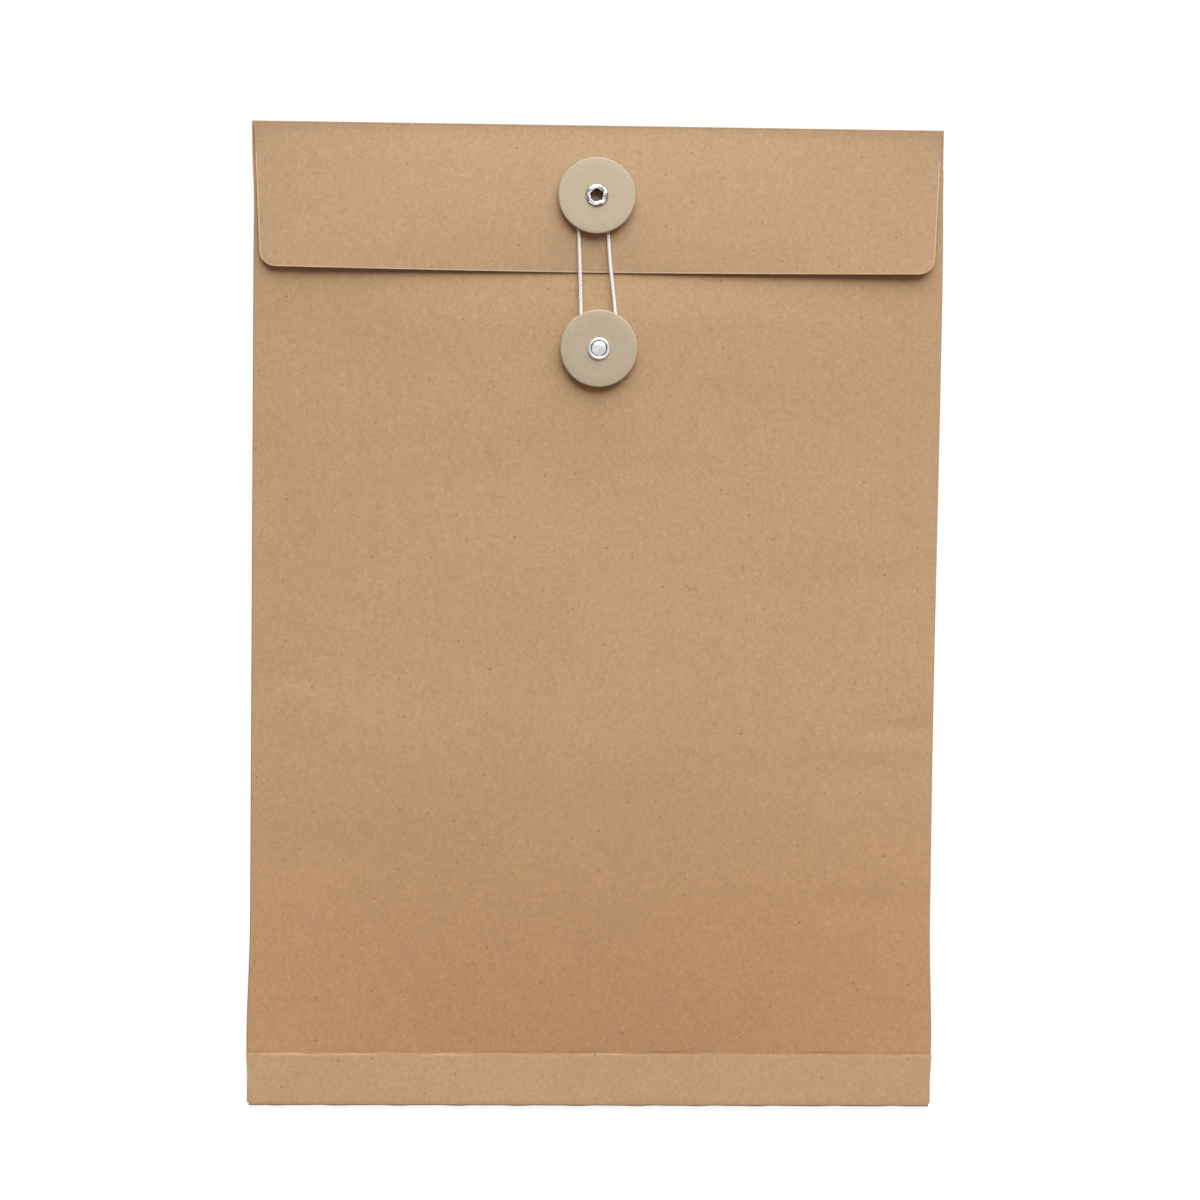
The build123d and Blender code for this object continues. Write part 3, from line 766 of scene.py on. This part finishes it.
class ENVELOPE_OT_flap(bpy.types.Operator):
    """Make the closure flap, with the fold that joins it to the back sheet"""
    bl_idname = "envelope.flap"
    bl_label = "Flap"

    def execute(self, context):
        paper = context.scene.envelope_paper
        kraft = kraft_material("kraft_flap_painted_shade", paper.flap_shaded_kraft, 0.0, fold=paper.top)
        edge = bpy.data.materials["kraft_cut_edge"]
        fold_y, fold_z = paper.top - paper.fold_radius, FLAP_FOLD_LEVEL * MM
        roll = paper.fold_radius - paper.thickness / 2
        columns = np.sin(np.linspace(-math.pi / 2, math.pi / 2, 141))
        rows = []
        turns = 9
        for turn in range(turns):
            angle = math.radians(-90 + 180 * turn / turns)
            y, z = fold_y + roll * math.cos(angle), fold_z + roll * math.sin(angle)
            rows.append([(across * paper.half_width, y, z) for across in columns])
        for share in np.sin(np.linspace(0, math.pi / 2, 61)):
            rows.append([self.point(paper, across, share, fold_y, fold_z, roll) for across in columns])
        piece = new_sheet("closure_sheet", rows, kraft, edge)
        self.highlight_edges(piece, len(rows) - 1, len(columns) - 1)
        give_thickness(piece, paper.thickness, 0)
        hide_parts("closure_flap")
        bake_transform(piece)
        return {"FINISHED"}

    def point(self, paper, across, share, fold_y, fold_z, roll):
        """One point of the flap: across runs from -1 to 1, share from the fold to the lower edge."""
        edge_y = paper.top - paper.flap_depth
        y = fold_y + (edge_y - fold_y) * share
        x = across * self.half_width_at(paper, (paper.top - y) / MM)
        y += FLAP_UPSWEEP * MM * (x / FLAP_EDGE_SPAN) ** 2 * share ** 2
        reach = abs(x) / FLAP_SPAN
        bow = paper.flap_bow * (1 - FLAP_BOW_LOST * reach ** 2)
        z = fold_z + (paper.flap_edge_level - fold_z) * share + bow * 4 * share * (1 - share)
        z += roll * math.exp(-share * FLAP_ROLL_FADE)
        fall = FLAP_FALL * reach ** 2 + FLAP_CORNER_FALL * reach ** 8
        z -= paper.flap_droop * (FLAP_FALL_LEFT if x < 0 else FLAP_FALL_RIGHT) * fall * share
        depth, middle, dent_reach = FLAP_STRING_DENT
        z -= depth * MM * hump(x, middle, dent_reach) * share ** 3
        z += waves(x, [FLAP_WAVE]) * MM * share * abs(x) / FLAP_EDGE_SPAN
        return (x * MM, y, z)

    def half_width_at(self, paper, drop):
        """Middle to the flap's side in millimetres, at a drop from the fold, with its round corner."""
        depth, radius = paper.flap_depth / MM, paper.corner_radius / MM
        lean = max((drop - FLAP_STEP_DROP) / (depth - FLAP_STEP_DROP), 0)
        half = paper.half_width / MM - FLAP_STEP_IN * min(drop / FLAP_STEP_DROP, 1) - FLAP_LEAN * lean
        left = depth - drop
        if left < radius:
            half -= radius - math.sqrt(max(radius ** 2 - (radius - left) ** 2, 0))
        return half

    def highlight_edges(self, piece, tall, wide):
        """Paints a highlight along the flap's sides and lower edge by giving the cut edges' finish to the
        faces there.
        """
        for index, face in enumerate(piece.data.polygons):
            row, column = divmod(index, wide)
            by_side = min(column, wide - 1 - column) < HIGHLIGHT_COLUMNS and row > HIGHLIGHT_FROM
            if by_side or row >= tall - HIGHLIGHT_ROWS:
                face.material_index = 1


def button_matrix(seat, axis):
    """Placement of a button: X across the page, Z along its fastener."""
    along = axis.cross(Vector((1, 0, 0))).normalized()
    turn = Matrix((Vector((1, 0, 0)), along, axis)).transposed().to_4x4()
    return Matrix.Translation(seat) @ turn


def turned(name, profile, place, sides, ring, shape):
    """Turned piece: a profile of (radius, height) in millimetres spun about Z.

    A ring's profile is a closed loop; any other runs from the axis to the axis. The shape function moves
    a point of the profile at each angle.
    """
    shell = bmesh.new()
    loops = []
    for radius, height in profile:
        if radius == 0:
            loops.append([shell.verts.new((0, 0, height * MM))])
            continue
        loop = []
        for side in range(sides):
            angle = 2 * math.pi * side / sides
            r, z = shape(radius, height, angle)
            loop.append(shell.verts.new((r * MM * math.cos(angle), r * MM * math.sin(angle), z * MM)))
        loops.append(loop)
    pairs = zip(loops, loops[1:] + loops[:1]) if ring else zip(loops, loops[1:])
    for first, second in pairs:
        for side in range(sides):
            after = (side + 1) % sides
            corners = [first[side % len(first)], first[after % len(first)],
                       second[after % len(second)], second[side % len(second)]]
            shell.faces.new(list(dict.fromkeys(corners)))
    bmesh.ops.recalc_face_normals(shell, faces=shell.faces)
    shell.transform(place)
    mesh = bpy.data.meshes.new(name)
    shell.to_mesh(mesh)
    shell.free()
    mesh.polygons.foreach_set("use_smooth", [True] * len(mesh.polygons))
    return new_object(name, mesh)


def plate(piece, place, metal, shaded, chosen):
    """Plates a turned piece, with painted shade metal on faces that a test on radius and height picks."""
    piece.data.materials.append(metal)
    piece.data.materials.append(shaded)
    back = place.inverted()
    for face in piece.data.polygons:
        spot = back @ face.center / MM
        if chosen(math.hypot(spot.x, spot.y), spot.z):
            face.material_index = 1


def shaded_on_eyelet(radius, height):
    """The eyelet's bore, and the foot of its rim, which take painted shade."""
    return radius < 2.12 or radius > 3.5 and height < 3.0


def shaded_on_rivet(radius, height):
    """The groove round the rivet's dome, which takes painted shade."""
    return 2.28 < radius < 2.74 and height > 2.6


class ENVELOPE_OT_buttons(bpy.types.Operator):
    """Make the two board discs, the hollow eyelet and the closed rivet, and finish their washers"""
    bl_idname = "envelope.buttons"
    bl_label = "Buttons"

    def execute(self, context):
        buttons = context.scene.envelope_buttons
        board = board_material(buttons.board)
        # Painted reflection: the plate and the rivet's cap are copies of one plating, with more or fewer
        # painted dark patches
        metal = metal_material("nickel_plate", buttons.metal, 0.26, 4.0)
        bright = metal_material("nickel_cap", buttons.metal, 0.78, 9.0)
        # Painted shade for the fasteners' hollows, in near-black plating
        shaded = metal_material("nickel_shade", buttons.painted_shade_metal, 0.45, 6.0)
        upper = button_matrix(UPPER_SEAT, UPPER_AXIS)
        lower = button_matrix(LOWER_SEAT, LOWER_AXIS)
        for name, place, phase in (("upper_disc", upper, 0.4), ("lower_disc", lower, 2.1)):
            piece = self.disc(buttons, name + "_board", place, phase)
            piece.data.materials.append(board)
            settle(piece, name, "disc_board", name)
        eyelet = self.eyelet(buttons, upper)
        plate(eyelet, upper, metal, shaded, shaded_on_eyelet)
        settle(eyelet, "flap", "nickel", "upper_eyelet")
        rivet = self.rivet(buttons, lower)
        plate(rivet, lower, bright, shaded, shaded_on_rivet)
        settle(rivet, "pocket", "nickel", "lower_rivet")
        finish_cad(["upper_backing_washer", "lower_backing_washer"], washer_material(buttons.washer))
        return {"FINISHED"}

    def disc(self, buttons, name, place, phase):
        """Board disc with soft edges, pressed in a little round its fastener."""
        foot = buttons.disc_foot / MM
        top = foot + buttons.disc_thickness / MM
        edge = buttons.disc_radius / MM
        profile = [
            (2.42, foot + 0.02), (2.6, foot), (6, foot), (9, foot), (edge - 0.6, foot),
            (edge - 0.22, foot + 0.04), (edge - 0.06, foot + 0.16), (edge, foot + 0.34),
            (edge, top - 0.38), (edge - 0.05, top - 0.20), (edge - 0.20, top - 0.06), (edge - 0.5, top),
            (9, top), (6, top), (4.6, top - 0.01), (3.9, top - 0.04), (3.3, top - 0.06), (2.5, top - 0.07),
            (2.42, top - 0.1),
        ]

        def worn(radius, height, angle):
            """Slightly uneven edge of a die-cut disc."""
            if radius < edge - 1:
                return radius, height
            wobble = 0.015 * math.sin(3 * angle + phase) + 0.012 * math.sin(7 * angle + 2 * phase)
            return radius - 0.03 + wobble, height

        return turned(name, profile, place, 144, True, worn)

    def eyelet(self, buttons, place):
        """Hollow eyelet: rolled rim, bore, and a flared foot behind the paper."""
        rim, bore = buttons.rim_radius / MM, buttons.bore_radius / MM
        profile = [
            (rim - 0.05, 2.66), (rim, 2.74), (rim - 0.02, 2.90), (rim - 0.13, 3.10), (rim - 0.35, 3.26),
            (rim - 0.68, 3.34), (rim - 1.0, 3.31), (bore + 0.30, 3.18), (bore + 0.11, 2.97),
            (bore + 0.02, 2.66), (bore, 2.2), (bore, 1.2), (bore, 0.0), (bore, -0.9), (bore + 0.06, -1.12),
            (bore + 0.3, -1.21), (2.8, -1.15), (3.15, -1.04), (3.36, -0.92), (3.3, -0.88), (2.45, -0.88),
            (2.34, -0.80), (2.34, 0.4), (2.34, 2.55), (2.40, 2.65), (3.2, 2.65),
        ]

        def five_sided(radius, height, angle):
            """Bore pulled slightly five-sided where the rim was rolled."""
            if radius > bore + 0.25 or height < 0.3:
                return radius, height
            share = smooth_step((height - 0.3) / 2)
            return radius - 0.14 * share * (1 + math.cos(5 * angle + 0.9)), height

        return turned("upper_eyelet_ring", profile, place, 120, True, five_sided)

    def rivet(self, buttons, place):
        """Closed rivet: dome, groove, rim, and a tube flared behind the paper."""
        rim = buttons.rim_radius / MM
        profile = [
            (0, 3.32), (0.7, 3.31), (1.3, 3.27), (1.8, 3.19), (2.15, 3.06), (2.38, 2.92), (2.50, 2.86),
            (2.60, 2.90), (2.70, 3.04), (2.84, 3.22), (3.02, 3.33), (3.22, 3.33), (rim - 0.22, 3.22),
            (rim - 0.08, 3.05), (rim, 2.85), (rim, 2.72), (rim - 0.06, 2.66), (3.2, 2.65), (2.40, 2.65),
            (2.34, 2.55), (2.34, 0.4), (2.34, -0.80), (2.45, -0.88), (3.3, -0.88), (3.36, -0.92),
            (3.15, -1.04), (2.8, -1.15), (2.0, -1.21), (1.5, -1.21), (1.40, -1.12), (1.40, -0.05),
            (0, -0.05),
        ]

        def pressed(radius, height, angle):
            """Rim and dome struck a little out of true."""
            if height < 2.7:
                return radius, height
            return radius, height + 0.035 * math.sin(2 * angle + 0.6) * min(radius / 2.5, 1)

        return turned("lower_rivet_cap", profile, place, 120, False, pressed)


def twist_tree():
    """Geometry nodes that lay three twisted strands along a curve."""
    sizes = dict.fromkeys(("Radius", "Lay", "Groove", "Step"), "Float")
    graph, given = start_tree("twisted_string", {"Route": "Object", **sizes, "Cotton": "Material"})
    route = graph.add("GeometryNodeObjectInfo", {"Object": given["Route"]}).outputs["Geometry"]
    even = graph.add("GeometryNodeResampleCurve", {"Curve": route, "Length": given["Step"]}, mode="LENGTH")
    run = graph.add("GeometryNodeSplineParameter").outputs["Length"]
    turn = graph.math("MULTIPLY", graph.math("DIVIDE", run, given["Lay"]), 2 * math.pi)
    wound = graph.add("GeometryNodeSetCurveTilt", {"Curve": even.outputs[0], "Tilt": turn})
    sides, strands = 24, 3
    ring = graph.add("GeometryNodeCurvePrimitiveCircle", {"Resolution": sides, "Radius": given["Radius"]})
    index = graph.add("GeometryNodeInputIndex").outputs[0]
    lobes = graph.math("COSINE", graph.math("MULTIPLY", index, strands * 2 * math.pi / sides))
    depth = graph.math("MULTIPLY", graph.math("SUBTRACT", 1.0, lobes), given["Groove"])
    place = graph.add("GeometryNodeInputPosition").outputs[0]
    pulled = graph.tinted(place, graph.math("SUBTRACT", 1.0, depth))
    section = graph.add("GeometryNodeSetPosition", {"Geometry": ring.outputs[0], "Position": pulled})
    laid = {"Curve": wound.outputs[0], "Profile Curve": section.outputs[0], "Fill Caps": True}
    tube = graph.add("GeometryNodeCurveToMesh", laid)
    return end_tree(graph, tube.outputs[0], given["Cotton"])


class ENVELOPE_OT_string(bpy.types.Operator):
    """Make the tie string along its route between the two buttons"""
    bl_idname = "envelope.string"
    bl_label = "String"

    def execute(self, context):
        string = context.scene.envelope_string
        route = self.route()
        line = bpy.data.meshes.new_from_object(route)
        piece = new_object("tie_string", bpy.data.meshes.new("tie_string"))
        twist = piece.modifiers.new("twist", "NODES")
        twist.node_group = twist_tree()
        set_inputs(twist, {
            "Route": route, "Radius": string.diameter / 2, "Lay": string.lay, "Groove": string.groove,
            "Step": 0.2 * MM, "Cotton": cotton_material(string.cotton),
        })
        realise(piece)
        if not piece.data.polygons:
            raise RuntimeError("the string's route gave no mesh")
        piece.data.polygons.foreach_set("use_smooth", [True] * len(piece.data.polygons))
        bpy.data.objects.remove(route)
        settle(piece, "flap", "tie_string", "string_tied_end", "string_right_strand", "string_lower_turn",
               "string_left_strand", "string_tucked_end")
        return {"FINISHED"}

    def route(self):
        """Curve of the string's middle line."""
        upper = button_matrix(UPPER_SEAT, UPPER_AXIS)
        lower = button_matrix(LOWER_SEAT, LOWER_AXIS)

        def under(place, points):
            return [place @ (Vector((x, y, STRING_LEVEL)) * MM) for x, y in points]

        def over(points):
            return [Vector(point) * MM for point in points]

        points = under(upper, TIED_END) + over(STRAND_DOWN) + under(lower, LOWER_TURN)
        points += over(STRAND_UP) + under(upper, TUCKED_END)
        curve = bpy.data.curves.new("string_route", "CURVE")
        curve.dimensions = "3D"
        curve.resolution_u = 24
        spline = curve.splines.new("NURBS")
        spline.points.add(len(points) - 1)
        for knot, point in zip(spline.points, points):
            knot.co = (*point, 1)
        spline.order_u = 3
        spline.use_endpoint_u = True
        return new_object("string_route", curve)


class ENVELOPE_OT_stage(bpy.types.Operator):
    """Make the floor, the light and the camera"""
    bl_idname = "envelope.stage"
    bl_label = "Stage"

    def execute(self, context):
        stage = context.scene.envelope_stage
        self.floor()
        self.world(stage)
        self.key(stage)
        self.camera(stage)
        context.scene.view_settings.view_transform = "Standard"
        return {"FINISHED"}

    def seen(self, graph):
        """1 for rays that show the stage itself: camera, glossy and transmission rays."""
        path = graph.add("ShaderNodeLightPath").outputs
        seen = graph.math("MAXIMUM", path["Is Camera Ray"], path["Is Glossy Ray"])
        return graph.math("MAXIMUM", seen, path["Is Transmission Ray"])

    def floor(self):
        """White floor that keeps the envelope's shadow and is clear from below."""
        half, level = FLOOR_HALF, -0.1 * MM
        corners = [(-half, -half, level), (half, -half, level), (half, half, level), (-half, half, level)]
        mesh = bpy.data.meshes.new("floor")
        mesh.from_pydata(corners, [], [(0, 1, 2, 3)])
        floor = new_object("floor", mesh)
        material = bpy.data.materials.new("white_floor")
        material.use_nodes = True
        material.node_tree.nodes.clear()
        graph = Graph(material.node_tree)
        matt = graph.add("ShaderNodeBsdfDiffuse", {"Color": (FLOOR_GREY, FLOOR_GREY, FLOOR_GREY, 1)})
        bright = graph.math("MULTIPLY", self.seen(graph), FLOOR_GLOW)
        glow = graph.add("ShaderNodeEmission", {"Color": (1, 1, 1, 1), "Strength": bright})
        both = graph.add("ShaderNodeAddShader", {0: matt.outputs[0], 1: glow.outputs[0]})
        clear = graph.add("ShaderNodeBsdfTransparent")
        under = graph.add("ShaderNodeNewGeometry").outputs["Backfacing"]
        mixed = graph.add("ShaderNodeMixShader", {0: under, 1: both.outputs[0], 2: clear.outputs[0]})
        graph.add("ShaderNodeOutputMaterial", {"Surface": mixed.outputs[0]})
        mesh.materials.append(material)

    def world(self, stage):
        """Soft warm light all round, which is plain white where the background shows."""
        world = bpy.data.worlds.new("studio")
        world.use_nodes = True
        bpy.context.scene.world = world
        graph = Graph(world.node_tree)
        seen = self.seen(graph)
        graph.feed(world.node_tree.nodes["Background"], {
            "Color": graph.mixed(stage.fill_tone, (1, 1, 1), seen),
            "Strength": graph.spread(seen, 0, 1, stage.ambient, 1.0),
        })

    def key(self, stage):
        """Broad key light from above the top of the page, cool enough to balance the warm fill."""
        light = bpy.data.lights.new("key", "SUN")
        light.energy = stage.key_power
        light.color = stage.key_tone
        light.angle = stage.key_spread
        lamp = new_object("key", light)
        level = math.cos(stage.key_height)
        toward = Vector((math.sin(stage.key_side) * level, math.cos(stage.key_side) * level,
                         math.sin(stage.key_height)))
        lamp.location = toward
        lamp.rotation_euler = toward.to_track_quat("Z", "Y").to_euler()

    def camera(self, stage):
        data = bpy.data.cameras.new("camera")
        data.lens = stage.lens
        data.sensor_width = 36
        data.clip_start = 0.01
        camera = new_object("camera", data)
        camera.location = stage.camera_at
        camera.rotation_euler = stage.camera_turn
        bpy.context.scene.camera = camera


class ENVELOPE_PT_panel(bpy.types.Panel):
    """Sizes, finishes and steps of the envelope"""
    bl_label = "String Tie Envelope"
    bl_space_type = "VIEW_3D"
    bl_region_type = "UI"
    bl_category = "Envelope"

    def draw(self, context):
        for step in STEPS:
            self.layout.operator(step.bl_idname)
        for group in GROUPS:
            box = self.layout.box()
            settings = getattr(context.scene, group)
            for name in settings.__annotations__:
                box.prop(settings, name)


GROUPS = {
    "envelope_paper": EnvelopePaper,
    "envelope_buttons": EnvelopeButtons,
    "envelope_string": EnvelopeString,
    "envelope_stage": EnvelopeStage,
}
STEPS = [ENVELOPE_OT_pocket, ENVELOPE_OT_flap, ENVELOPE_OT_buttons, ENVELOPE_OT_string, ENVELOPE_OT_stage]


def register():
    for group in GROUPS.values():
        bpy.utils.register_class(group)
    for name, group in GROUPS.items():
        setattr(bpy.types.Scene, name, bpy.props.PointerProperty(type=group))
    for step in STEPS:
        bpy.utils.register_class(step)
    bpy.utils.register_class(ENVELOPE_PT_panel)


def unregister():
    bpy.utils.unregister_class(ENVELOPE_PT_panel)
    for step in reversed(STEPS):
        bpy.utils.unregister_class(step)
    for name, group in GROUPS.items():
        delattr(bpy.types.Scene, name)
        bpy.utils.unregister_class(group)


def main():
    register()
    bpy.ops.envelope.pocket()
    bpy.ops.envelope.flap()
    bpy.ops.envelope.buttons()
    bpy.ops.envelope.string()
    bpy.ops.envelope.stage()


if __name__ == "__main__":
    main()
